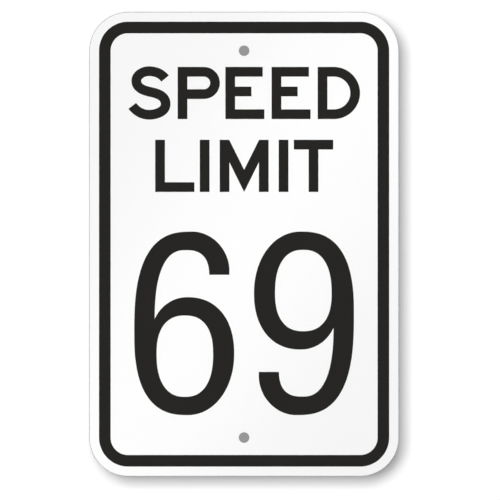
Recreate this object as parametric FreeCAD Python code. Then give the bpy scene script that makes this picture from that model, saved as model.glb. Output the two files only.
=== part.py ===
import FreeCAD, Part
import os

# Speed limit sign, 12 by 18 inches: a flat punched aluminium blank, its white reflective
# sheeting and the black border film on that sheeting.
#
# Lengths are millimetres. X runs to the reader's right, Z up, and the face looks along -Y.
# The origin is the centre of the back face, the flat that lies against the post.

INCH = 25.4

# Blank: 0.063 inch sheet, punched to size with rounded corners
WIDTH = 12.0 * INCH
HEIGHT = 18.0 * INCH
SHEET = 0.063 * INCH
CORNER_RADIUS = 1.5 * INCH

# Cut edges: the punch rolls the face side over, and the back is deburred
ROLL_RADIUS = 0.30
DEBURR = 0.15

# Bolt holes on the vertical centreline, normal clearance for a 3/8 inch bolt
HOLE_DIAMETER = 13.0 / 32.0 * INCH
HOLE_TO_EDGE = 1.5 * INCH

# White sheeting, stopped short of every rolled edge
SHEETING = 0.20
SHEETING_SETBACK = 0.10

# Border film, a band of even width that keeps the same distance from the blank's edge
BORDER_TO_EDGE = 0.375 * INCH
BORDER_WIDTH = 0.4375 * INCH
BORDER_FILM = 0.08

# Where each layer starts, along Y
BACK_FACE = 0.0
METAL_FACE = BACK_FACE - SHEET
SHEETING_FACE = METAL_FACE - SHEETING

FLAT_TOLERANCE = 1e-6


def point(x, z, y):
    """A point on the sheet's plane at depth y."""
    return FreeCAD.Vector(x, y, z)


def quarter_arc(centre_x, centre_z, radius, start_degrees, y):
    """A quarter circle in the XZ plane, counted from +X towards +Z."""
    centre = point(centre_x, centre_z, y)
    ends = []
    for degrees in (start_degrees, start_degrees + 45.0, start_degrees + 90.0):
        turn = FreeCAD.Rotation(FreeCAD.Vector(0, -1, 0), degrees)
        ends.append(centre + turn.multVec(FreeCAD.Vector(radius, 0, 0)))
    return Part.Arc(ends[0], ends[1], ends[2]).toShape()


def rounded_rectangle(inset, y):
    """The blank's outline moved inwards by inset: straight sides and concentric corners."""
    half_width = WIDTH / 2.0 - inset
    half_height = HEIGHT / 2.0 - inset
    radius = CORNER_RADIUS - inset
    flat_x = half_width - radius
    flat_z = half_height - radius
    right = Part.LineSegment(point(half_width, -flat_z, y), point(half_width, flat_z, y))
    top = Part.LineSegment(point(flat_x, half_height, y), point(-flat_x, half_height, y))
    left = Part.LineSegment(point(-half_width, flat_z, y), point(-half_width, -flat_z, y))
    bottom = Part.LineSegment(point(-flat_x, -half_height, y), point(flat_x, -half_height, y))
    edges = [
        right.toShape(),
        quarter_arc(flat_x, flat_z, radius, 0.0, y),
        top.toShape(),
        quarter_arc(-flat_x, flat_z, radius, 90.0, y),
        left.toShape(),
        quarter_arc(-flat_x, -flat_z, radius, 180.0, y),
        bottom.toShape(),
        quarter_arc(flat_x, -flat_z, radius, 270.0, y),
    ]
    return Part.Wire(edges)


def layer(outline, thickness):
    """A flat layer as thick as thickness, grown from a closed outline towards the reader."""
    return Part.Face(outline).extrude(FreeCAD.Vector(0, -thickness, 0))


def hole_cutters(diameter, y, depth):
    """Two cylinders on the bolt holes' axes, from depth y towards the reader."""
    height = HEIGHT / 2.0 - HOLE_TO_EDGE
    towards_reader = FreeCAD.Vector(0, -1, 0)
    upper = Part.makeCylinder(diameter / 2.0, depth, point(0, height, y), towards_reader)
    lower = Part.makeCylinder(diameter / 2.0, depth, point(0, -height, y), towards_reader)
    return [upper, lower]


def edges_at(solid, y):
    """Every edge of the solid that lies wholly in the plane at depth y."""
    found = []
    for edge in solid.Edges:
        box = edge.BoundBox
        if abs(box.YMin - y) < FLAT_TOLERANCE and abs(box.YMax - y) < FLAT_TOLERANCE:
            found.append(edge)
    return found


def aluminium_blank():
    """The punched sheet: outline and holes rolled over on the face, deburred at the back."""
    sheet = layer(rounded_rectangle(0.0, BACK_FACE), SHEET)
    punched = sheet.cut(hole_cutters(HOLE_DIAMETER, BACK_FACE, SHEET))
    rolled = punched.makeFillet(ROLL_RADIUS, edges_at(punched, METAL_FACE))
    return rolled.makeChamfer(DEBURR, edges_at(rolled, BACK_FACE))


def reflective_sheeting():
    """The white face: it covers the flat of the metal and leaves each rolled edge bare."""
    bare_edge = ROLL_RADIUS + SHEETING_SETBACK
    face = layer(rounded_rectangle(bare_edge, METAL_FACE), SHEETING)
    return face.cut(hole_cutters(HOLE_DIAMETER + 2.0 * bare_edge, METAL_FACE, SHEETING))


def border_film():
    """The black band: two concentric rounded outlines, one layer thick."""
    outer = layer(rounded_rectangle(BORDER_TO_EDGE, SHEETING_FACE), BORDER_FILM)
    inner = layer(rounded_rectangle(BORDER_TO_EDGE + BORDER_WIDTH, SHEETING_FACE), BORDER_FILM)
    return outer.cut(inner)


def write(name, shape):
    """Check that the shape is one sound solid and write it as a STEP file."""
    solid = shape.Solids[0]
    if len(shape.Solids) != 1 or not solid.isValid():
        raise ValueError(name + " is not one valid solid")
    solid.exportStep("parts/" + name + ".step")
    print(name, round(solid.Volume, 2), "mm3")


def main():
    os.makedirs("parts", exist_ok=True)
    write("aluminium_blank", aluminium_blank())
    write("reflective_sheeting", reflective_sheeting())
    write("border_film", border_film())


main()
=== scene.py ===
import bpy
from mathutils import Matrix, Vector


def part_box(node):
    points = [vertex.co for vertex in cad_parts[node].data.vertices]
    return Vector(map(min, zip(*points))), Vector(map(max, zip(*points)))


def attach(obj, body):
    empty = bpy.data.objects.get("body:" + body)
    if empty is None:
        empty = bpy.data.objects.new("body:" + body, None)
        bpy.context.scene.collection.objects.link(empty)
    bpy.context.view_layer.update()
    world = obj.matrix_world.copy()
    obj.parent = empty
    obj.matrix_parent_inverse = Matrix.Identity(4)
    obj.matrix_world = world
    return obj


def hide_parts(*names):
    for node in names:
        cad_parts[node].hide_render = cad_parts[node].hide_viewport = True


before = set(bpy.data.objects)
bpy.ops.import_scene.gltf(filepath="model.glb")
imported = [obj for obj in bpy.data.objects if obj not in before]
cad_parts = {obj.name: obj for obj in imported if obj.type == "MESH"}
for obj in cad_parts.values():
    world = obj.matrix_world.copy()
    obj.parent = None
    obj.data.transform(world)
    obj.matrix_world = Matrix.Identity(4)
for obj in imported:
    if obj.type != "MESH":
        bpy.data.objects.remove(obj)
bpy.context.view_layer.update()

# A flat speed limit sign: a mill-finish aluminium blank, white reflective sheeting on its
# face, and a border and a legend cut from black film.
#
# Lengths are millimetres until a mesh, a lamp or the camera is made, which are in metres.
# Outlines lie in the sign's plane as the reader sees it, x to the right and z up. The face
# looks along -Y. Outer outlines run anticlockwise and openings clockwise, so the material is
# always on the left.

import logging
import math
from dataclasses import dataclass, replace
from enum import Enum
from typing import Protocol, Sequence

import bpy
import numpy as np
from mathutils import Quaternion, Vector
from mathutils.geometry import delaunay_2d_cdt

LOG = logging.getLogger("speed_limit_sign")

MM = 0.001
INCH = 25.4
BODY = "root"

# Segments in a quarter turn of a corner, a hole and a letter's bowl, and in one bow of a
# numeral, one span of a brush stroke and the rolled edge
CORNER_STEPS = 48
HOLE_STEPS = 24
BOWL_STEPS = 32
BOW_STEPS = 40
STROKE_STEPS = 24
ROLL_STEPS = 8

# Faces that meet at more than this angle keep a crisp edge between them
CRISP_ANGLE = math.radians(30.0)

# Delaunay triangulation: the closest that two points may lie, and the kind of output that
# keeps what lies inside the outline and outside its openings
CLOSEST_POINTS = 1e-5
INSIDE_WITH_HOLES = 2

# Nearly all of a noise texture lies in this range
NOISE_RANGE = {"From Min": 0.3, "From Max": 0.7}

# The strength of each finer octave of a noise, as a share of the coarser one's
OCTAVE_SHARE = 0.55

# Diffuse Depth is a whole number, so a half tells 0 from the rest
BELOW_ONE = 0.5

Loop = np.ndarray
Pair = tuple[float, float]
Triple = tuple[float, float, float]


class Slot(Enum):
    """The record's material slots."""

    ALUMINIUM = "aluminium"
    SHEETING = "white_sheeting"
    FILM = "black_film"


class Character(Enum):
    """The legend's characters, each by the name that its piece gets."""

    S = "letter_s"
    P = "letter_p"
    E = "letter_e"
    D = "letter_d"
    L = "letter_l"
    I = "letter_i"
    M = "letter_m"
    T = "letter_t"
    SIX = "numeral_6"
    NINE = "numeral_9"


def corners(*pairs: Pair) -> Loop:
    """The corners of a straight-sided outline as an array of x and z."""
    return np.array(pairs, dtype=float)


def bow(
    centre: Pair,
    reach: Pair,
    start: float,
    stop: float,
    power: float = 2.0,
    steps: int = BOW_STEPS,
) -> Loop:
    """Part of a superellipse, |x / reach_x|^power + |z / reach_z|^power = 1 about the centre.

    At angle t the point is reach_x * |cos t|^(2 / power) across and
    reach_z * |sin t|^(2 / power) up, each with the sign of its cosine or sine. A power of 2
    is an ellipse, and more is squarer.

    Args:
        centre: x and z of the centre.
        reach: half width and half height.
        start: first angle in degrees, counted from x towards z.
        stop: last angle in degrees, smaller than start for a clockwise bow.
        power: the superellipse's exponent.
        steps: number of segments.

    Returns:
        The bow's points, ends included.
    """
    angle = np.radians(np.linspace(start, stop, steps + 1))
    cosine, sine = np.cos(angle), np.sin(angle)
    across = np.sign(cosine) * np.abs(cosine) ** (2.0 / power)
    up = np.sign(sine) * np.abs(sine) ** (2.0 / power)
    return np.stack([centre[0] + reach[0] * across, centre[1] + reach[1] * up], axis=1)


def round_bow(centre: Pair, radius: float, start: float, stop: float) -> Loop:
    """A circular arc with a bowl's number of steps for each quarter turn."""
    steps = max(1, round(BOWL_STEPS * abs(stop - start) / 90.0))
    return bow(centre, (radius, radius), start, stop, steps=steps)


@dataclass(frozen=True)
class Knot:
    """A point that a stroke's centreline passes, with its heading in degrees and its pulls.

    The pulls are the lengths of the Bezier handles before and after the point.
    """

    x: float
    z: float
    heading: float
    pull_in: float
    pull_out: float

    def place(self) -> np.ndarray:
        """The knot's x and z."""
        return np.array([self.x, self.z])

    def aim(self) -> np.ndarray:
        """The unit vector along the knot's heading."""
        turn = math.radians(self.heading)
        return np.array([math.cos(turn), math.sin(turn)])


def brush_stroke(knots: Sequence[Knot], width: float) -> Loop:
    """The outline of a stroke of even width along a smooth centreline.

    Each span is a cubic Bezier curve, so its point at t is the sum of the four controls
    weighted by (1-t)^3, 3(1-t)^2 t, 3(1-t) t^2 and t^3. The two sides lie half a width to
    the right and left of the centreline, square to its direction there.

    Args:
        knots: the centreline's knots in order.
        width: the stroke's width.

    Returns:
        The closed outline: the right side forwards, then the left side back.
    """
    t = np.linspace(0.0, 1.0, STROKE_STEPS + 1)[:, None]
    places, slopes = [], []
    for before, after in zip(knots[:-1], knots[1:]):
        a, d = before.place(), after.place()
        b, c = a + before.pull_out * before.aim(), d - after.pull_in * after.aim()
        place = (1 - t) ** 3 * a + 3 * (1 - t) ** 2 * t * b + 3 * (1 - t) * t**2 * c + t**3 * d
        slope = (1 - t) ** 2 * (b - a) + 2 * (1 - t) * t * (c - b) + t**2 * (d - c)
        keep = slice(None) if after is knots[-1] else slice(-1)
        places.append(place[keep])
        slopes.append(slope[keep])
    centreline = np.vstack(places)
    along = np.vstack(slopes)
    along /= np.linalg.norm(along, axis=1, keepdims=True)
    leftwards = np.stack([-along[:, 1], along[:, 0]], axis=1) * width / 2.0
    return np.vstack([centreline - leftwards, (centreline + leftwards)[::-1]])


def grown(loop: Loop, by: float) -> Loop:
    """An outline moved out of the material, its corners kept sharp.

    Each side moves along its normal, which points to the right of the way round. A corner
    between sides with unit normals n and m moves by (n + m) / (1 + n . m).

    Args:
        loop: the outline or opening.
        by: how far each side moves.

    Returns:
        The moved outline, point for point.
    """
    side = np.roll(loop, -1, axis=0) - loop
    normal = np.stack([side[:, 1], -side[:, 0]], axis=1)
    normal /= np.linalg.norm(normal, axis=1, keepdims=True)
    before = np.roll(normal, 1, axis=0)
    share = 1.0 + np.sum(normal * before, axis=1, keepdims=True)
    return loop + by * (normal + before) / share


class Outline(Protocol):
    """A closed outline of a sheet that can be moved into the material by an inset."""

    @property
    def wear(self) -> float:
        """How strongly the punch's marks, with the painted edge shade laid on them, show on its edge."""
        ...

    def at(self, inset: float) -> Loop:
        """The outline's points, moved into the material by the inset."""
        ...


@dataclass(frozen=True)
class RoundedRectangle:
    """A rectangle about the origin whose corners are quarter circles."""

    half_width: float
    half_height: float
    radius: float
    opening: bool = False
    wear: float = 1.0

    def inside(self, by: float) -> "RoundedRectangle":
        """The concentric rectangle that lies further in."""
        return replace(
            self,
            half_width=self.half_width - by,
            half_height=self.half_height - by,
            radius=self.radius - by,
        )

    def at(self, inset: float) -> Loop:
        """The outline from its right side on, moved into the material.

        The four corner arcs are one circle's quarters, each moved to its own corner's
        centre, and the straight sides are the gaps between them.

        Args:
            inset: how far into the material, so outwards for an opening.

        Returns:
            The points, anticlockwise, or clockwise for an opening.
        """
        radius = self.radius + (inset if self.opening else -inset)
        turn = np.radians(np.linspace(0.0, 90.0, CORNER_STEPS + 1))
        quarter = np.radians([0.0, 90.0, 180.0, 270.0])[:, None] + turn[None, :]
        ring = radius * np.stack([np.cos(quarter), np.sin(quarter)], axis=2)
        centre = np.array([self.half_width - self.radius, self.half_height - self.radius])
        signs = corners((1, 1), (-1, 1), (-1, -1), (1, -1))
        loop = (ring + (signs * centre)[:, None, :]).reshape(-1, 2)
        return loop[::-1] if self.opening else loop


@dataclass(frozen=True)
class RoundHole:
    """A punched round hole."""

    centre: Pair
    radius: float
    wear: float = 1.0

    def at(self, inset: float) -> Loop:
        """The circle, wider by the inset, run clockwise without its repeated last point."""
        reach = (self.radius + inset, self.radius + inset)
        return bow(self.centre, reach, 0.0, -360.0, steps=4 * HOLE_STEPS)[:-1]


@dataclass(frozen=True)
class KnifeCut:
    """An outline cut square through a film."""

    loop: Loop
    wear: float = 1.0

    def at(self, inset: float) -> Loop:
        """The same points at every inset, since a knife leaves no roll or chamfer."""
        return self.loop


def fill(loops: Sequence[Loop]) -> np.ndarray:
    """Triangles over the area inside the first loop and outside the others.

    Args:
        loops: the outer outline, then the openings.

    Returns:
        Rows of three indices into the stacked loops, anticlockwise as the reader sees them.
    """
    stacked = np.vstack(loops)
    ends = np.cumsum([len(loop) for loop in loops]).tolist()
    rings = [list(range(end - len(loop), end)) for loop, end in zip(loops, ends)]
    _, _, faces, origins, _, _ = delaunay_2d_cdt(
        stacked.tolist(), [], rings, INSIDE_WITH_HOLES, CLOSEST_POINTS
    )
    triangles = np.array(origins).reshape(-1)[np.array(faces)]
    corner = stacked[triangles]
    side_a, side_b = corner[:, 1] - corner[:, 0], corner[:, 2] - corner[:, 0]
    backwards = side_a[:, 0] * side_b[:, 1] - side_a[:, 1] * side_b[:, 0] < 0.0
    triangles[backwards] = triangles[backwards][:, ::-1]
    return triangles


@dataclass(frozen=True)
class EdgeStation:
    """One line of an edge's section: how far inside the outline it lies, and how deep.

    cut says how the punch left the metal there: 0 for untouched rolled surface, 1 for the
    broken zone, and between them where the metal was only scuffed and smeared. It also sets
    how much painted edge shade, in the broken colour, lies there.
    """

    inset: float
    depth: float
    cut: float = 0.0


def knife_edge(front: float, back: float) -> list[EdgeStation]:
    """The section of a knife-cut film: one straight wall from its front to its back."""
    return [EdgeStation(0.0, front), EdgeStation(0.0, back)]


def sheet_mesh(
    name: str, outlines: Sequence[Outline], edge: Sequence[EdgeStation]
) -> bpy.types.Mesh:
    """A closed flat sheet: its edge's section carried round every outline, and two flats.

    A wall point is a function of two parameters, the station and the place along the
    outline: the outline at that station's inset, at that station's depth. The front flat
    fills the first station's outlines and the back flat the last one's.

    Args:
        name: the mesh's name.
        outlines: the outer outline, then the openings.
        edge: the stations from the front flat to the back flat.

    Returns:
        The mesh in metres, walls smooth and flats flat. Its attribute "cut" holds each
        station's cut times its outline's wear.
    """
    depths = np.array([station.depth for station in edge])
    cuts = np.array([station.cut for station in edge])
    vertices, worn, grids, walls = [], [], [], []
    first = 0
    for outline in outlines:
        rings = np.stack([outline.at(station.inset) for station in edge])
        depth = np.broadcast_to(depths[:, None], rings.shape[:2])
        vertices.append(np.stack([rings[..., 0], depth, rings[..., 1]], axis=2).reshape(-1, 3))
        worn.append(np.repeat(cuts * outline.wear, rings.shape[1]))
        grid = first + np.arange(depth.size).reshape(depth.shape)
        onward = np.roll(grid, -1, axis=1)
        quads = np.stack([grid[:-1], grid[1:], onward[1:], onward[:-1]], axis=2)
        walls.append(quads.reshape(-1, 4))
        grids.append(grid)
        first += grid.size
    front_loops = [outline.at(edge[0].inset) for outline in outlines]
    back_loops = [outline.at(edge[-1].inset) for outline in outlines]
    front = np.concatenate([grid[0] for grid in grids])[fill(front_loops)]
    back = np.concatenate([grid[-1] for grid in grids])[fill(back_loops)[:, ::-1]]

    mesh = bpy.data.meshes.new(name)
    faces = front.tolist() + back.tolist() + np.vstack(walls).tolist()
    mesh.from_pydata((np.vstack(vertices) * MM).tolist(), [], faces)
    smooth = np.arange(len(faces)) >= len(front) + len(back)
    mesh.polygons.foreach_set("use_smooth", smooth)
    mesh.set_sharp_from_angle(angle=CRISP_ANGLE)
    attribute = mesh.attributes.new("cut", "FLOAT", "POINT")
    attribute.data.foreach_set("value", np.concatenate(worn).astype(np.float32))
    mesh.update()
    return mesh


def add_piece(mesh: bpy.types.Mesh, material: bpy.types.Material) -> bpy.types.Object:
    """Links a mesh as a piece of the sign that rides on the body.

    Args:
        mesh: the piece's mesh, which gives its name.
        material: its finish.

    Returns:
        The piece.
    """
    mesh.materials.append(material)
    piece = bpy.data.objects.new(mesh.name, mesh)
    bpy.context.scene.collection.objects.link(piece)
    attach(piece, BODY)
    return piece


def linear(hex_colour: str) -> tuple[float, float, float, float]:
    """An sRGB hex colour as linear light.

    A value v up to 0.04045 becomes v / 12.92, and a higher one ((v + 0.055) / 1.055)^2.4.

    Args:
        hex_colour: the colour, such as #F4F5F4.

    Returns:
        Linear red, green and blue, and an alpha of 1.
    """
    encoded = np.array([int(hex_colour[i:i + 2], 16) for i in (1, 3, 5)]) / 255.0
    bent = ((encoded + 0.055) / 1.055) ** 2.4
    red, green, blue = np.where(encoded <= 0.04045, encoded / 12.92, bent)
    return (float(red), float(green), float(blue), 1.0)


def add_node(
    tree: bpy.types.NodeTree,
    kind: str,
    sockets: dict[str, object] | None = None,
    **settings: object,
) -> bpy.types.Node:
    """Adds a node with its settings, its input values and its links.

    Args:
        tree: the node tree that gets it.
        kind: the node's type name.
        sockets: each input's identifier with a plain value, or with the output that feeds
            it, or with a node that feeds it from its first output in use.
        settings: the node's own properties.

    Returns:
        The new node.
    """
    node = tree.nodes.new(kind)
    for name, value in settings.items():
        setattr(node, name, value)
    inputs = {socket.identifier: socket for socket in node.inputs}
    for identifier, value in (sockets or {}).items():
        if isinstance(value, bpy.types.Node):
            value = next(output for output in value.outputs if output.enabled)
        if isinstance(value, bpy.types.NodeSocket):
            tree.links.new(value, inputs[identifier])
        else:
            inputs[identifier].default_value = value
    return node


def empty_tree(owner: bpy.types.ID) -> bpy.types.NodeTree:
    """Gives a material, a world or a lamp an empty node tree.

    Args:
        owner: what gets the tree.

    Returns:
        The tree.
    """
    owner.use_nodes = True
    owner.node_tree.nodes.clear()
    return owner.node_tree


@dataclass(frozen=True)
class Grain:
    """Noise with features of a real size in millimetres along x, y and z, on a piece.

    turn lays the features over in the sign's plane, in degrees.
    """

    size: Triple
    detail: float = 2.0
    turn: float = 0.0

    def draw(self, tree: bpy.types.NodeTree) -> bpy.types.Node:
        """Adds the pattern: the piece's own place, turned back and divided by the size.

        Args:
            tree: the node tree that gets it.

        Returns:
            The noise node.
        """
        place = add_node(tree, "ShaderNodeTexCoord").outputs["Object"]
        scale = tuple(length * MM for length in self.size)
        turn = (0.0, math.radians(self.turn), 0.0)
        sockets = {"Vector": place, "Rotation": turn, "Scale": scale}
        spot = add_node(tree, "ShaderNodeMapping", sockets, vector_type="TEXTURE")
        sockets = {"Vector": spot, "Scale": 1.0, "Detail": self.detail}
        return add_node(tree, "ShaderNodeTexNoise", {**sockets, "Roughness": OCTAVE_SHARE})


def tone_of(
    tree: bpy.types.NodeTree, parts: Sequence[tuple[bpy.types.Node, float]]
) -> bpy.types.Node:
    """A tone from 0 to 1 out of several noises, each times its share of the whole.

    Args:
        tree: the node tree that gets it.
        parts: each noise with its share. The shares add up to 1.

    Returns:
        The node that gives the tone.
    """
    total: bpy.types.Node | float = 0.0
    for pattern, share in parts:
        sockets = {"Value": pattern, "Value_001": share, "Value_002": total}
        total = add_node(tree, "ShaderNodeMath", sockets, operation="MULTIPLY_ADD")
    return add_node(tree, "ShaderNodeMapRange", {"Value": total, **NOISE_RANGE})


@dataclass(frozen=True)
class MillAluminium:
    """Aluminium sheet in its mill finish, cold-rolled and then punched.

    The ground rolls leave fine lines along the sheet's length, which the eye takes for a
    soft brushing. Handling leaves cloudy smudges and a few thin scuffs. A punched edge is
    smeared where the punch sheared it, and dull and scored through the thickness where the
    metal broke. Its darker grey is partly the dull broken metal and partly painted shade,
    standing in for the darker surroundings that a real edge mirrors.
    """

    bright: str = "#CED0D2"
    dull: str = "#B4B7BA"
    scuffed: str = "#DEDFE0"
    # Dull broken metal, darkened further as painted shade along the punched edge
    broken: str = "#7C7F83"
    # Roll lines are 0.1 to 0.3 mm wide on the real sheet, drawn 0.7 mm wide to show
    roll_lines: Grain = Grain((0.7, 0.7, 130.0), detail=3.0)
    # Broad bands where the rolls had worn unevenly
    bands: Grain = Grain((18.0, 18.0, 600.0))
    smudges: Grain = Grain((65.0, 65.0, 65.0), detail=4.0)
    # Scuffs from stacking are finer than 0.1 mm, drawn 0.6 mm wide to show
    scuffs: tuple[Grain, ...] = (
        Grain((0.6, 0.6, 45.0), detail=1.0, turn=34.0),
        Grain((0.6, 0.6, 30.0), detail=1.0, turn=-58.0),
    )
    # The noise's values where a scuff starts to show and where it is full
    scuff_range: Pair = (0.68, 0.74)
    # Score marks through the thickness of a punched edge are about 0.1 mm wide, drawn
    # 0.35 mm wide to show
    scores: Grain = Grain((0.35, 1000.0, 0.35))
    # How much of the clean metal's tone follows the lines, the bands and the smudges
    line_share: float = 0.45
    band_share: float = 0.2
    smudge_share: float = 0.35
    # Depth of the lines and scores, and how strongly it shows
    relief: float = 0.004
    relief_strength: float = 0.6
    clean_roughness: Pair = (0.27, 0.41)
    scuffed_roughness: float = 0.5
    broken_roughness: float = 0.55

    def scuff_marks(self, tree: bpy.types.NodeTree) -> bpy.types.Node:
        """Adds the scuffs: the crests of each stretched noise, whichever is stronger.

        Args:
            tree: the node tree that gets them.

        Returns:
            The node that gives their strength from 0 to 1.
        """
        strongest: bpy.types.Node | float = 0.0
        low, high = self.scuff_range
        for scuff in self.scuffs:
            sockets = {"Value": scuff.draw(tree), "From Min": low, "From Max": high}
            mark = add_node(tree, "ShaderNodeMapRange", sockets)
            sockets = {"Value": mark, "Value_001": strongest}
            strongest = add_node(tree, "ShaderNodeMath", sockets, operation="MAXIMUM")
        return strongest

    def material(self) -> bpy.types.Material:
        """Builds the finish.

        Returns:
            The node material.
        """
        material = bpy.data.materials.new("mill_finish_aluminium")
        tree = empty_tree(material)
        lines = self.roll_lines.draw(tree)
        smudges = self.smudges.draw(tree)
        scuffs = self.scuff_marks(tree)
        cut = add_node(tree, "ShaderNodeAttribute", attribute_name="cut").outputs["Fac"]
        bands = self.bands.draw(tree)
        shares = ((lines, self.line_share), (bands, self.band_share), (smudges, self.smudge_share))
        tone = tone_of(tree, shares)

        colour = linear(self.dull)
        # The broken colour over the cut paints shade along the punched edges, as well as dull metal
        for share, shade in ((tone, self.bright), (scuffs, self.scuffed), (cut, self.broken)):
            sockets = {"Factor_Float": share, "A_Color": colour, "B_Color": linear(shade)}
            colour = add_node(tree, "ShaderNodeMix", sockets, data_type="RGBA")

        low, high = self.clean_roughness
        sockets = {"Value": smudges, **NOISE_RANGE, "To Min": low, "To Max": high}
        roughness = add_node(tree, "ShaderNodeMapRange", sockets)
        for share, rough in ((scuffs, self.scuffed_roughness), (cut, self.broken_roughness)):
            sockets = {"Factor_Float": share, "A_Float": roughness, "B_Float": rough}
            roughness = add_node(tree, "ShaderNodeMix", sockets)

        sockets = {"Factor_Float": cut, "A_Float": lines, "B_Float": self.scores.draw(tree)}
        height = add_node(tree, "ShaderNodeMix", sockets)
        sockets = {"Distance": self.relief * MM, "Height": height}
        relief = add_node(tree, "ShaderNodeBump", {**sockets, "Strength": self.relief_strength})

        sockets = {"Base Color": colour, "Metallic": 1.0, "Roughness": roughness, "Normal": relief}
        shader = add_node(tree, "ShaderNodeBsdfPrincipled", sockets)
        add_node(tree, "ShaderNodeOutputMaterial", {"Surface": shader})
        return material


@dataclass(frozen=True)
class Acrylic:
    """A thin acrylic sheet on the sign, whose colour lies between a dark and a light one.

    The tone between the two follows a fine grain and, for cloud_share of it, a slow pattern.
    The grain also makes the gloss uneven, and the surface has a faint relief of its own.
    """

    name: str
    dark: str
    light: str
    grain: Grain
    clouds: Grain
    cloud_share: float
    surface: Grain
    relief: float
    roughness: Pair
    specular: float
    relief_strength: float = 0.5
    ior: float = 1.49

    def material(self) -> bpy.types.Material:
        """Builds the finish.

        Returns:
            The node material.
        """
        material = bpy.data.materials.new(self.name)
        tree = empty_tree(material)
        grain = self.grain.draw(tree)
        parts = ((grain, 1.0 - self.cloud_share), (self.clouds.draw(tree), self.cloud_share))
        sockets = {
            "Factor_Float": tone_of(tree, parts),
            "A_Color": linear(self.dark),
            "B_Color": linear(self.light),
        }
        colour = add_node(tree, "ShaderNodeMix", sockets, data_type="RGBA")
        smoothest, roughest = self.roughness
        sockets = {"Value": grain, **NOISE_RANGE, "To Min": smoothest, "To Max": roughest}
        roughness = add_node(tree, "ShaderNodeMapRange", sockets)
        sockets = {"Distance": self.relief * MM, "Height": self.surface.draw(tree)}
        relief = add_node(tree, "ShaderNodeBump", {**sockets, "Strength": self.relief_strength})
        sockets = {
            "Base Color": colour,
            "Roughness": roughness,
            "IOR": self.ior,
            "Specular IOR Level": self.specular,
            "Normal": relief,
        }
        shader = add_node(tree, "ShaderNodeBsdfPrincipled", sockets)
        add_node(tree, "ShaderNodeOutputMaterial", {"Surface": shader})
        return material


@dataclass(frozen=True)
class BeadedSheeting(Acrylic):
    """White reflective sheeting: glass beads sealed under a clear, smooth acrylic film.

    The beads scatter light evenly, so the face is a pale white with a faint sparkle. The
    clear film over them gives a soft gloss with a slight orange peel.
    """

    name: str = "beaded_reflective_sheeting"
    dark: str = "#F1F2F1"
    light: str = "#F3F3F3"
    # Beads are about 0.06 mm across; their grain is drawn 1.1 mm wide to show
    grain: Grain = Grain((1.1, 1.1, 1.1))
    # Streaks of the coating, along the web
    clouds: Grain = Grain((22.0, 22.0, 600.0))
    cloud_share: float = 0.3
    # Orange peel
    surface: Grain = Grain((3.5, 3.5, 3.5), detail=1.0)
    relief: float = 0.003
    roughness: Pair = (0.19, 0.25)
    specular: float = 0.5


@dataclass(frozen=True)
class BlackFilm(Acrylic):
    """Opaque black acrylic film, cast and knife-cut: a close, satin black with a fine tooth.

    The tooth breaks up the reflections, so the black stays deep where the white shines.
    """

    name: str = "black_acrylic_film"
    dark: str = "#1B1A18"
    light: str = "#1F1E1C"
    # The cast surface's tooth is about 0.1 mm; drawn 0.8 mm wide to show
    grain: Grain = Grain((0.8, 0.8, 0.8))
    # Slow change in the depth of colour
    clouds: Grain = Grain((45.0, 45.0, 45.0))
    cloud_share: float = 0.4
    surface: Grain = Grain((0.8, 0.8, 0.8))
    relief: float = 0.002
    roughness: Pair = (0.57, 0.67)
    specular: float = 0.1


@dataclass(frozen=True)
class Layers:
    """The sign's outer size and where its layers lie, in millimetres, as the frame has them."""

    half_width: float
    half_height: float
    back: float
    metal_face: float
    sheeting_face: float
    film_face: float

    @classmethod
    def from_frame(cls) -> "Layers":
        """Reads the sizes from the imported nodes' boxes.

        Returns:
            The layers.
        """
        low, high = (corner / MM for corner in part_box("aluminium_blank"))
        return cls(
            half_width=high.x,
            half_height=high.z,
            back=high.y,
            metal_face=low.y,
            sheeting_face=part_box("reflective_sheeting")[0].y / MM,
            film_face=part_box("border_film")[0].y / MM,
        )


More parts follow.
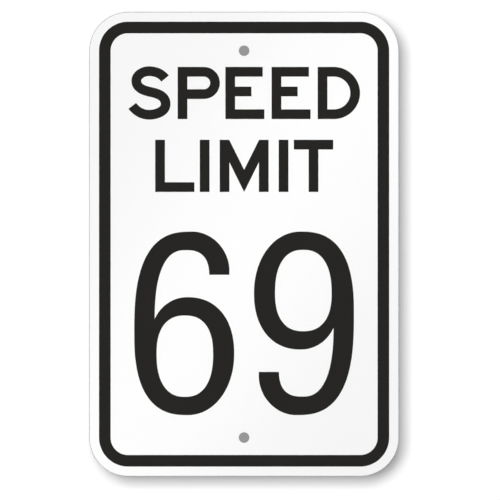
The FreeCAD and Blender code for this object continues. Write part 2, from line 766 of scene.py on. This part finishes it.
@dataclass(frozen=True)
class Blank:
    """The punched blank and the sheeting on it, which share their outlines."""

    layers: Layers
    corner_radius: float = 1.5 * INCH
    hole_diameter: float = 13.0 / 32.0 * INCH
    hole_to_edge: float = 1.5 * INCH
    # Cut edges: the punch rolls the face side over, and the back is deburred
    roll_radius: float = 0.30
    deburr: float = 0.15
    # How far the sheeting stops short of the outer edge, and of the holes, where the picture
    # shows no bare metal and it comes closer than its solid
    setback: float = 0.40
    hole_setback: float = 0.05
    # Shares of the thickness: sheared cleanly, and the step from there to the broken zone
    sheared_share: float = 0.45
    step_share: float = 0.05
    # How much of the broken colour, dull metal darkened as painted edge shade, lies on the rolled and
    # sheared part of the edge
    smeared: float = 0.85
    # The holes' edges get only a little of the outline's edge wear and painted edge shade
    hole_wear_and_shade: float = 0.05

    def hole_height(self) -> float:
        """How far the bolt holes lie above and below the middle."""
        return self.layers.half_height - self.hole_to_edge

    def outline(self) -> RoundedRectangle:
        """The blank's outer outline."""
        return RoundedRectangle(self.layers.half_width, self.layers.half_height, self.corner_radius)

    def holes(self, setback: float = 0.0) -> list[RoundHole]:
        """The two bolt holes, or what is cut out a setback away from them."""
        radius, height = self.hole_diameter / 2.0 + setback, self.hole_height()
        return [RoundHole((0.0, z), radius, self.hole_wear_and_shade) for z in (height, -height)]

    def punched_edge(self) -> list[EdgeStation]:
        """The section of a punched edge, from the face to the back.

        It rolls over in a quarter circle, runs straight through a sheared band and a broken
        one, and ends in the small chamfer that deburring leaves. The quarter circle's point
        at angle t lies roll_radius * (1 - sin t) inside and roll_radius * (1 - cos t) deep.

        Returns:
            The stations.
        """
        back, face = self.layers.back, self.layers.metal_face
        turn = np.radians(np.linspace(0.0, 90.0, ROLL_STEPS + 1))
        insets = self.roll_radius * (1.0 - np.sin(turn))
        depths = face + self.roll_radius * (1.0 - np.cos(turn))
        sheared = face + self.sheared_share * (back - face)
        broken = sheared + self.step_share * (back - face)
        return [
            *(EdgeStation(inset, depth, self.smeared) for inset, depth in zip(insets, depths)),
            EdgeStation(0.0, sheared, self.smeared),
            EdgeStation(0.0, broken, 1.0),
            EdgeStation(0.0, back - self.deburr, 1.0),
            EdgeStation(self.deburr, back),
        ]

    def build(self, metal: bpy.types.Material, white: bpy.types.Material) -> list[bpy.types.Object]:
        """Builds the blank and the sheeting over their solids.

        Args:
            metal: the blank's finish.
            white: the sheeting's finish.

        Returns:
            The two pieces.
        """
        outlines = [self.outline(), *self.holes()]
        mesh = sheet_mesh("punched_blank", outlines, self.punched_edge())
        blank = add_piece(mesh, metal)
        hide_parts("aluminium_blank")
        outlines = [self.outline().inside(self.setback), *self.holes(self.hole_setback)]
        edge = knife_edge(self.layers.sheeting_face, self.layers.metal_face)
        face = add_piece(sheet_mesh("white_face", outlines, edge), white)
        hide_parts("reflective_sheeting")
        return [blank, face]


@dataclass(frozen=True)
class Border:
    """The black band round the face, concentric with the blank's own corners."""

    layers: Layers
    blank_outline: RoundedRectangle
    to_edge: float = 0.375 * INCH
    # As the picture shows it, 0.3 mm wider on the inside than its solid
    width: float = 0.45 * INCH

    def build(self, black: bpy.types.Material) -> bpy.types.Object:
        """Builds the band over its solid.

        Args:
            black: the film's finish.

        Returns:
            The piece.
        """
        outer = self.blank_outline.inside(self.to_edge)
        inner = replace(outer.inside(self.width), opening=True)
        edge = knife_edge(self.layers.film_face, self.layers.sheeting_face)
        band = add_piece(sheet_mesh("border_band", [outer, inner], edge), black)
        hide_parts("border_film")
        return band


@dataclass(frozen=True)
class Glyph:
    """A character's outlines, from its left edge and its foot, and the width it takes."""

    width: float
    outer: Loop
    counter: Loop | None = None

    def moved(self, x: float, z: float) -> list[Loop]:
        """The outlines with their left edge at x and their foot at z."""
        loops = [self.outer] if self.counter is None else [self.outer, self.counter]
        return [loop + [x, z] for loop in loops]


@dataclass(frozen=True)
class Capitals:
    """Plain sign capitals of one height, drawn with one width of stroke.

    Each letter's own sizes are named in its method, from its left edge and its foot.
    """

    height: float = 2.0 * INCH
    stroke: float = 9.0

    def letter_s(self) -> Glyph:
        """S: one brush stroke through two bowls, the lower one a little wider.

        Returns:
            The glyph.
        """
        width = 40.6
        middle = (width / 2.0, self.height / 2.0)
        knots = [
            Knot(15.0, 14.5, 130.0, 0.0, 6.8),
            Knot(-0.9, 21.5, 180.0, 5.9, 5.8),
            Knot(-13.2, 12.2, 270.0, 5.2, 6.5),
            Knot(0.9, 1.0, 348.0, 8.7, 9.4),
            Knot(15.7, -11.0, 270.0, 7.1, 7.2),
            Knot(-0.4, -21.4, 180.0, 6.8, 7.0),
            Knot(-17.0, -12.9, 128.0, 6.8, 0.0),
        ]
        return Glyph(width, brush_stroke(knots, self.stroke) + middle)

    def bowled(self, foot: float, turn: float, stem: Sequence[Pair]) -> Glyph:
        """A stem and a bowl: two bars that end in half circles about one centre.

        Args:
            foot: where the bowl's lower bar starts.
            turn: where the bars end and the half circles begin.
            stem: the stem's corners below the bowl.

        Returns:
            The glyph.
        """
        outside = (self.height - foot) / 2.0
        inside = outside - self.stroke
        centre = (turn, foot + outside)
        outer = np.vstack([
            corners(*stem),
            round_bow(centre, outside, -90.0, 90.0),
            corners((0.0, self.height)),
        ])
        counter = np.vstack([
            round_bow(centre, inside, 90.0, -90.0),
            corners((self.stroke, centre[1] - inside), (self.stroke, centre[1] + inside)),
        ])
        return Glyph(turn + outside, outer, counter)

    def letter_p(self) -> Glyph:
        """P: a bowl on the upper part of its stem."""
        foot, turn = 19.8, 25.5
        return self.bowled(foot, turn, [(0.0, 0.0), (self.stroke, 0.0), (self.stroke, foot)])

    def letter_d(self) -> Glyph:
        """D: a bowl of the full height."""
        return self.bowled(0.0, 15.7, [(0.0, 0.0)])

    def letter_e(self) -> Glyph:
        """E: a stem and three arms, the bottom one longest and the middle one short.

        Returns:
            The glyph.
        """
        top, middle, bottom, shelf = 36.2, 25.1, 37.8, 22.4
        outer = corners(
            (0.0, 0.0),
            (bottom, 0.0),
            (bottom, self.stroke),
            (self.stroke, self.stroke),
            (self.stroke, shelf),
            (middle, shelf),
            (middle, shelf + self.stroke),
            (self.stroke, shelf + self.stroke),
            (self.stroke, self.height - self.stroke),
            (top, self.height - self.stroke),
            (top, self.height),
            (0.0, self.height),
        )
        return Glyph(bottom, outer)

    def letter_l(self) -> Glyph:
        """L: a stem and an arm at its foot.

        Returns:
            The glyph.
        """
        width = 38.0
        outer = corners(
            (0.0, 0.0),
            (width, 0.0),
            (width, self.stroke),
            (self.stroke, self.stroke),
            (self.stroke, self.height),
            (0.0, self.height),
        )
        return Glyph(width, outer)

    def letter_i(self) -> Glyph:
        """I: a stem."""
        right, top = self.stroke, self.height
        return Glyph(right, corners((0.0, 0.0), (right, 0.0), (right, top), (0.0, top)))

    def letter_m(self) -> Glyph:
        """M: two stems and a V between them that comes down to the foot.

        Returns:
            The glyph.
        """
        width, crotch, notch, shoulder, tip = 47.6, 30.15, 20.95, 8.9, 0.3
        middle = width / 2.0
        outer = corners(
            (0.0, 0.0),
            (self.stroke, 0.0),
            (self.stroke, crotch),
            (middle, tip),
            (width - self.stroke, crotch),
            (width - self.stroke, 0.0),
            (width, 0.0),
            (width, self.height),
            (width - shoulder, self.height),
            (middle, notch),
            (shoulder, self.height),
            (0.0, self.height),
        )
        return Glyph(width, outer)

    def letter_t(self) -> Glyph:
        """T: a bar on a stem in its middle.

        Returns:
            The glyph.
        """
        width = 38.2
        left, right = (width - self.stroke) / 2.0, (width + self.stroke) / 2.0
        under = self.height - self.stroke
        outer = corners(
            (left, 0.0),
            (right, 0.0),
            (right, under),
            (width, under),
            (width, self.height),
            (0.0, self.height),
            (0.0, under),
            (left, under),
        )
        return Glyph(width, outer)


@dataclass(frozen=True)
class Numerals:
    """The large 6 and the 9, which is the same figure turned by half a turn.

    Sizes are from the figure's centre. It is drawn in bows that share a tangent where they
    join, and each bow's squareness is its superellipse's power, where 2 is an ellipse.
    """

    half_width: float = 48.95
    half_height: float = 90.1
    # The outside: where it is highest, widest on the left, lowest and widest on the right
    crown_x: float = 8.0
    cheek_z: float = -9.5
    sole_x: float = 3.5
    hip_z: float = -30.0
    back_squareness: float = 2.72
    heel_squareness: float = 2.59
    hip_squareness: float = 2.05
    # The hook: its square end, where it is widest outside, and its arch inside
    hook_z: float = 48.1
    hook_inner_x: float = 25.0
    hook_outer_x: float = 44.1
    hook_widest: Pair = (44.25, 51.7)
    hook_squareness: float = 1.95
    arch_z: float = 44.5
    arch_stop: float = 6.0
    arch_squareness: float = 2.66
    # The top of the bowl, on its right and on its left down to the crotch
    bowl_top: float = 25.5
    bowl_x: float = 3.3
    shoulder_squareness: float = 2.24
    neck_z: float = -14.0
    neck_reach: float = 35.9
    neck_stop: float = 152.9
    neck_squareness: float = 2.06
    # The inside of the stem, up from the crotch
    inner_x: float = 1.3
    inner_z: float = 1.5
    inner_top: float = 72.35
    inner_left: float = -29.4
    inner_start: float = 178.93
    inner_squareness: float = 2.49
    # The counter
    counter_centre: Pair = (0.7, -29.7)
    counter_left: float = -27.5
    counter_right: float = 28.7
    counter_top: float = 8.0
    counter_bottom: float = -72.65
    counter_squareness: float = 2.38

    def outside(self) -> list[Loop]:
        """The bows of the 6's outside, from the hook's end over the crown to the bowl's right.

        Returns:
            The hook, the back, the heel, the hip and the bowl's shoulder.
        """
        widest_x, widest_z = self.hook_widest
        return [
            bow(
                (self.crown_x, widest_z),
                (widest_x - self.crown_x, self.half_height - widest_z),
                0.0, 90.0, self.hook_squareness,
            ),
            bow(
                (self.crown_x, self.cheek_z),
                (self.half_width + self.crown_x, self.half_height - self.cheek_z),
                90.0, 180.0, self.back_squareness,
            ),
            bow(
                (self.sole_x, self.cheek_z),
                (self.half_width + self.sole_x, self.half_height + self.cheek_z),
                180.0, 270.0, self.heel_squareness,
            ),
            bow(
                (self.sole_x, self.hip_z),
                (self.half_width - self.sole_x, self.half_height + self.hip_z),
                270.0, 360.0, self.hip_squareness,
            ),
            bow(
                (self.bowl_x, self.hip_z),
                (self.half_width - self.bowl_x, self.bowl_top - self.hip_z),
                0.0, 90.0, self.shoulder_squareness,
            ),
        ]

    def inside(self) -> list[Loop]:
        """The bows from the bowl's top down to the crotch and up inside the stem.

        Returns:
            The neck, the stem's inside and the hook's arch.
        """
        return [
            bow(
                (self.bowl_x, self.neck_z),
                (self.neck_reach, self.bowl_top - self.neck_z),
                90.0, self.neck_stop, self.neck_squareness,
            ),
            bow(
                (self.inner_x, self.inner_z),
                (self.inner_x - self.inner_left, self.inner_top - self.inner_z),
                self.inner_start, 90.0, self.inner_squareness,
            ),
            bow(
                (self.inner_x, self.arch_z),
                (self.hook_inner_x - self.inner_x, self.inner_top - self.arch_z),
                90.0, self.arch_stop, self.arch_squareness,
            ),
        ]

    def counter(self) -> list[Loop]:
        """The counter's four bows, clockwise from its top, each without its last point.

        Returns:
            The upper right, lower right, lower left and upper left bow.
        """
        x, z = self.counter_centre
        right, left = self.counter_right - x, x - self.counter_left
        above, below = self.counter_top - z, z - self.counter_bottom
        reaches = [(right, above), (right, below), (left, below), (left, above)]
        return [
            bow(self.counter_centre, reach, start, start - 90.0, self.counter_squareness)[:-1]
            for reach, start in zip(reaches, (90.0, 0.0, -90.0, -180.0))
        ]

    def six_about_centre(self) -> list[Loop]:
        """Joins the 6's bows, dropping each point that repeats the one before it.

        Returns:
            The outline and the counter about the figure's centre.
        """
        hook, *outside = self.outside()
        neck, stem, arch = self.inside()
        outline = np.vstack([
            corners((self.hook_outer_x, self.hook_z)),
            hook,
            *(bow_points[1:] for bow_points in outside),
            neck[1:],
            stem,
            arch[1:],
            corners((self.hook_inner_x, self.hook_z)),
        ])
        return [outline, np.vstack(self.counter())]

    def numeral_6(self) -> Glyph:
        """6: the figure, moved to stand on its foot.

        Returns:
            The glyph.
        """
        outer, counter = self.six_about_centre()
        centre = [self.half_width, self.half_height]
        return Glyph(2.0 * self.half_width, outer + centre, counter + centre)

    def numeral_9(self) -> Glyph:
        """9: the 6 turned by half a turn about its centre.

        Returns:
            The glyph.
        """
        outer, counter = self.six_about_centre()
        centre = [self.half_width, self.half_height]
        return Glyph(2.0 * self.half_width, centre - outer, centre - counter)


@dataclass(frozen=True)
class TextLine:
    """One line of the legend: its characters, the gaps between them and where it stands."""

    characters: tuple[Character, ...]
    gaps: tuple[float, ...]
    foot: float
    centre_x: float = 0.0


@dataclass(frozen=True)
class Legend:
    """The words and the numerals, each character its own cut-out of film on the sheeting."""

    layers: Layers
    capitals: Capitals = Capitals()
    numerals: Numerals = Numerals()
    # How far the cut film stands outside the drawn outlines
    spread: float = 0.3
    lines: tuple[TextLine, ...] = (
        TextLine(
            (Character.S, Character.P, Character.E, Character.E, Character.D),
            gaps=(7.5, 6.0, 7.7, 7.6),
            foot=123.45,
            centre_x=0.3,
        ),
        TextLine(
            (Character.L, Character.I, Character.M, Character.I, Character.T),
            gaps=(5.9, 10.6, 10.5, 5.9),
            foot=51.7,
            centre_x=0.1,
        ),
        TextLine((Character.SIX, Character.NINE), gaps=(20.0,), foot=-168.1),
    )

    def glyph(self, character: Character) -> Glyph:
        """Draws one character.

        Args:
            character: which one.

        Returns:
            Its glyph.
        """
        drawn_by = {
            Character.S: self.capitals.letter_s,
            Character.P: self.capitals.letter_p,
            Character.E: self.capitals.letter_e,
            Character.D: self.capitals.letter_d,
            Character.L: self.capitals.letter_l,
            Character.I: self.capitals.letter_i,
            Character.M: self.capitals.letter_m,
            Character.T: self.capitals.letter_t,
            Character.SIX: self.numerals.numeral_6,
            Character.NINE: self.numerals.numeral_9,
        }
        return drawn_by[character]()

    def names(self) -> list[str]:
        """The pieces' names in reading order, with a count where a character comes again.

        Returns:
            One name for each character.
        """
        kinds = [character.value for line in self.lines for character in line.characters]
        counts = [kinds[:place + 1].count(kind) for place, kind in enumerate(kinds)]
        return [
            f"{kind}_{count}" if kinds.count(kind) > 1 else kind
            for kind, count in zip(kinds, counts)
        ]

    def cut_outs(self) -> list[list[KnifeCut]]:
        """Sets every line about its own centre, each character after the last one's gap.

        Returns:
            Each character's outlines in reading order.
        """
        placed = []
        for line in self.lines:
            glyphs = [self.glyph(character) for character in line.characters]
            widths = np.array([glyph.width for glyph in glyphs])
            steps = np.concatenate([[0.0], np.cumsum(widths[:-1] + line.gaps)])
            starts = line.centre_x - (steps[-1] + widths[-1]) / 2.0 + steps
            for glyph, start in zip(glyphs, starts):
                loops = glyph.moved(start, line.foot)
                placed.append([KnifeCut(grown(loop, self.spread)) for loop in loops])
        return placed

    def build(self, black: bpy.types.Material) -> list[bpy.types.Object]:
        """Builds every character.

        Args:
            black: the film's finish.

        Returns:
            The pieces in reading order.
        """
        edge = knife_edge(self.layers.film_face, self.layers.sheeting_face)
        return [
            add_piece(sheet_mesh(name, outlines, edge), black)
            for name, outlines in zip(self.names(), self.cut_outs())
        ]


def seen_directly(tree: bpy.types.NodeTree) -> bpy.types.Node:
    """1 where the camera sees something itself, in a mirror or through glass, and 0 elsewhere.

    It is the higher of Is Camera Ray and, before any matt surface has scattered the ray, of
    Is Glossy Ray and Is Transmission Ray. A scattered ray counts as lighting, so it gets 0.

    Args:
        tree: the node tree that gets it.

    Returns:
        The node that gives the number.
    """
    path = add_node(tree, "ShaderNodeLightPath").outputs
    sockets = {"Value": path["Is Glossy Ray"], "Value_001": path["Is Transmission Ray"]}
    mirrored = add_node(tree, "ShaderNodeMath", sockets, operation="MAXIMUM")
    unscattered = before_scattering(tree)
    sockets = {"Value": mirrored, "Value_001": unscattered}
    mirrored = add_node(tree, "ShaderNodeMath", sockets, operation="MULTIPLY")
    sockets = {"Value": path["Is Camera Ray"], "Value_001": mirrored}
    return add_node(tree, "ShaderNodeMath", sockets, operation="MAXIMUM")


def before_scattering(tree: bpy.types.NodeTree) -> bpy.types.Node:
    """1 until a matt surface has scattered the ray, and 0 from then on.

    Args:
        tree: the node tree that gets it.

    Returns:
        The node that gives the number.
    """
    depth = add_node(tree, "ShaderNodeLightPath").outputs["Diffuse Depth"]
    sockets = {"Value": depth, "Value_001": BELOW_ONE}
    return add_node(tree, "ShaderNodeMath", sockets, operation="LESS_THAN")


@dataclass(frozen=True)
class Paper:
    """Matt studio paper, seen from its face only, with a glow that lights nothing.

    The glow keeps white paper white in the picture where the plain level of light alone
    would leave it pale grey.
    """

    name: str
    colour: str
    glow: float

    def material(self) -> bpy.types.Material:
        """Builds the finish.

        Returns:
            The node material.
        """
        material = bpy.data.materials.new(self.name)
        tree = empty_tree(material)
        matt = add_node(tree, "ShaderNodeBsdfDiffuse", {"Color": linear(self.colour)})
        sockets = {"Value": seen_directly(tree), "Value_001": self.glow}
        strength = add_node(tree, "ShaderNodeMath", sockets, operation="MULTIPLY")
        glow = add_node(tree, "ShaderNodeEmission", {"Strength": strength})
        face = add_node(tree, "ShaderNodeAddShader", {"Shader": matt, "Shader_001": glow})
        side = add_node(tree, "ShaderNodeNewGeometry").outputs["Backfacing"]
        clear = add_node(tree, "ShaderNodeBsdfTransparent")
        sockets = {"Fac": side, "Shader": face, "Shader_001": clear}
        surface = add_node(tree, "ShaderNodeMixShader", sockets)
        add_node(tree, "ShaderNodeOutputMaterial", {"Surface": surface})
        return material


def upright(side: float, depth: float, foot: float, top: float) -> list[Triple]:
    """The corners of an upright sheet that faces the reader, from -side to side across."""
    return [(-side, depth, foot), (side, depth, foot), (side, depth, top), (-side, depth, top)]


@dataclass(frozen=True)
class Studio:
    """A white wall behind the sign, a pale floor below it, soft light and the camera."""

    layers: Layers
    hole_height: float
    # The photograph's frame, and the sign's place and size in it
    image_px: float = 500.0
    sign_width_px: float = 309.5
    sign_centre_px: Pair = (244.1, 244.15)
    # A long lens, since the picture shows no perspective
    lens: float = 1000.0
    sensor: float = 36.0
    # Nothing nearer or farther than this is in the picture
    clip: Pair = (100.0, 100000.0)
    # The wall behind the sign, a grey sheet just behind each bolt hole that paints the shade seen
    # through it, and the floor
    wall_gap: float = 60.0
    hole_shade_gap: float = 3.0
    hole_shade_half: float = 10.0
    floor_below: float = 70.0
    stage_half: float = 3000.0
    wall_paper: Paper = Paper("wall_paper", "#DEDEDE", glow=0.29)
    # Painted shade: grey sheets, with a little glow, that the bolt holes show in place of light falling
    # through
    hole_shade_paper: Paper = Paper("painted_hole_shade", "#505050", glow=0.23)
    floor_paper: Paper = Paper("floor_paper", "#DADADA", glow=0.62)
    # The square light at the upper left: how far it throws the sign's shadow to the right
    # and down on the wall as the picture shows it, and half the width of the shadow's edge
    shadow_throw: float = 5.6
    shadow_softness: float = 7.6
    key_share: float = 0.965
    fill_share: float = 0.07
    # The strip that the glossy face mirrors, along the face's rising diagonal
    strip_place: Triple = (4.1, -825.0, -2.9)
    strip_angle: float = 55.0
    strip_size: Pair = (1650.0, 198.0)
    strip_radiance: float = 2.15
    # The light behind, which the metal back mirrors over the white surround
    back_place: Triple = (315.0, 810.0, 225.0)
    back_size: Pair = (700.0, 700.0)
    back_radiance: float = 0.35

    def frame_width(self) -> float:
        """The width in millimetres that the picture covers at the sign's face."""
        return self.image_px * 2.0 * self.layers.half_width / self.sign_width_px

    def camera_distance(self) -> float:
        """How far the camera stands from the face."""
        return self.frame_width() * self.lens / self.sensor

    def build_sheet(self, name: str, outline: Sequence[Triple], paper: Paper) -> None:
        """Adds a flat stage object that only the camera sees.

        Args:
            name: the object's name.
            outline: its four corners in millimetres, anticlockwise as its face is seen.
            paper: its finish.
        """
        mesh = bpy.data.meshes.new(name)
        mesh.from_pydata((np.array(outline) * MM).tolist(), [], [(0, 1, 2, 3)])
        mesh.materials.append(paper.material())
        sheet = bpy.data.objects.new(name, mesh)
        bpy.context.scene.collection.objects.link(sheet)
        sheet.visible_diffuse = False
        sheet.visible_glossy = False
        sheet.visible_transmission = False
        sheet.visible_shadow = False

    def build_stage(self) -> None:
        """Adds the wall, the grey sheets of painted shade that show through the bolt holes, and the
        floor.
        """
        half, floor = self.stage_half, -self.layers.half_height - self.floor_below
        wall = upright(half, self.layers.back + self.wall_gap, floor, half)
        self.build_sheet("studio_wall", wall, self.wall_paper)
        ground = [(-half, -half, floor), (half, -half, floor), (half, half, floor), (-half, half, floor)]
        self.build_sheet("studio_floor", ground, self.floor_paper)
        # Grey sheets just behind the bolt holes, painted shade in the holes
        depth, side = self.layers.back + self.hole_shade_gap, self.hole_shade_half
        for name, height in (("upper_hole_shade", self.hole_height), ("lower_hole_shade", -self.hole_height)):
            self.build_sheet(name, upright(side, depth, height - side, height + side), self.hole_shade_paper)

    def build_world(self) -> None:
        """Adds an even surround, white where it is seen or mirrored, and a fill elsewhere."""
        world = bpy.data.worlds.new("white_surround")
        world.cycles.sampling_method = "NONE"
        tree = empty_tree(world)
        sockets = {"Value": seen_directly(tree), "Value_001": self.fill_share}
        strength = add_node(tree, "ShaderNodeMath", sockets, operation="MAXIMUM")
        sockets = {"Color": linear("#FFFFFF"), "Strength": strength}
        surround = add_node(tree, "ShaderNodeBackground", sockets)
        add_node(tree, "ShaderNodeOutputWorld", {"Surface": surround})
        bpy.context.scene.world = world

    def add_lamp(self, name: str, place: Vector, size: Pair, power: float) -> bpy.types.Object:
        """A rectangular lamp that looks at the sign's centre and that the camera doesn't see.

        Args:
            name: the lamp's name.
            place: where it stands, in metres.
            size: its width and height in millimetres.
            power: its power in watts.

        Returns:
            The lamp's object.
        """
        light = bpy.data.lights.new(name, "AREA")
        light.shape = "RECTANGLE"
        light.size, light.size_y = (length * MM for length in size)
        light.energy = power
        lamp = bpy.data.objects.new(name, light)
        bpy.context.scene.collection.objects.link(lamp)
        lamp.visible_camera = False
        lamp.location = place
        lamp.rotation_mode = "QUATERNION"
        lamp.rotation_quaternion = (-place).to_track_quat("-Z", "Y")
        return lamp

    def add_mirrored_lamp(
        self, name: str, place: Triple, size: Pair, radiance: float
    ) -> bpy.types.Object:
        """A lamp whose power is pi times its radiance times its area.

        Args:
            name: the lamp's name.
            place: where it stands, in millimetres.
            size: its width and height in millimetres.
            radiance: how bright it is in a mirror, where 1 is white.

        Returns:
            The lamp's object.
        """
        power = math.pi * radiance * size[0] * size[1] * MM**2
        return self.add_lamp(name, Vector(place) * MM, size, power)

    def build_key(self) -> None:
        """Adds the square light at the upper left of the camera.

        It stands as far from the sign as the camera does, so the shadow on the wall keeps
        the sign's own size in the picture. A point of the lamp that lies w beside the camera
        then throws the shadow w * gap / (distance + gap) to the other side.

        The lamp faces the sign squarely. From a distance y, with its centre s away, a power
        p lights the face to p * y^2 / (pi^2 * s^4) of its white.
        """
        distance = self.camera_distance()
        reach = (distance + self.wall_gap) / self.wall_gap
        aside, side = self.shadow_throw * reach, 2.0 * self.shadow_softness * reach
        place = Vector((-aside, self.layers.sheeting_face - distance, aside)) * MM
        power = math.pi**2 * self.key_share * place.length**4 / place.y**2
        key = self.add_lamp("square_light", place, (side, side), power)
        key.rotation_quaternion = Vector((0.0, 1.0, 0.0)).to_track_quat("-Z", "Z")
        key.visible_glossy = False

    def build_strip(self) -> None:
        """Adds the strip that the glossy face mirrors, turned about the camera's axis."""
        size, radiance = self.strip_size, self.strip_radiance
        strip = self.add_mirrored_lamp("mirrored_strip", self.strip_place, size, radiance)
        strip.rotation_quaternion @= Quaternion((0.0, 0.0, 1.0), math.radians(self.strip_angle))
        strip.visible_diffuse = False

    def build_back_light(self) -> None:
        """Adds the light behind the sign.

        Its strength is 0 after a matt surface has scattered the ray, so that it doesn't
        reach the wall by way of the metal back, as a real wall would stop it.
        """
        size, radiance = self.back_size, self.back_radiance
        lamp = self.add_mirrored_lamp("light_behind", self.back_place, size, radiance)
        tree = empty_tree(lamp.data)
        glow = add_node(tree, "ShaderNodeEmission", {"Strength": before_scattering(tree)})
        add_node(tree, "ShaderNodeOutputLight", {"Surface": glow})

    def build_camera(self) -> None:
        """Adds the camera square to the face, moved so that the sign lies as in the picture."""
        per_px = self.frame_width() / self.image_px
        middle = self.image_px / 2.0
        x = (middle - self.sign_centre_px[0]) * per_px
        z = (self.sign_centre_px[1] - middle) * per_px
        data = bpy.data.cameras.new("camera")
        data.lens = self.lens
        data.sensor_width = self.sensor
        data.dof.use_dof = False
        data.clip_start, data.clip_end = (reach * MM for reach in self.clip)
        camera = bpy.data.objects.new("camera", data)
        camera.location = Vector((x, self.layers.sheeting_face - self.camera_distance(), z)) * MM
        camera.rotation_euler = (math.radians(90.0), 0.0, 0.0)
        bpy.context.scene.collection.objects.link(camera)
        bpy.context.scene.camera = camera

    def build(self) -> None:
        """Adds everything that isn't the sign."""
        self.build_camera()
        self.build_stage()
        self.build_world()
        self.build_key()
        self.build_strip()
        self.build_back_light()
        bpy.context.scene.view_settings.view_transform = "Standard"


def main() -> None:
    """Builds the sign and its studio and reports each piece."""
    logging.basicConfig(level=logging.INFO, format="%(name)s: %(message)s")
    layers = Layers.from_frame()
    black = BlackFilm().material()
    blank = Blank(layers)
    pieces = blank.build(MillAluminium().material(), BeadedSheeting().material())
    pieces.append(Border(layers, blank.outline()).build(black))
    pieces.extend(Legend(layers).build(black))
    Studio(layers, blank.hole_height()).build()
    for piece in pieces:
        finish = piece.data.materials[0].name
        LOG.info("%s: %d faces, %s", piece.name, len(piece.data.polygons), finish)


if __name__ == "__main__":
    main()
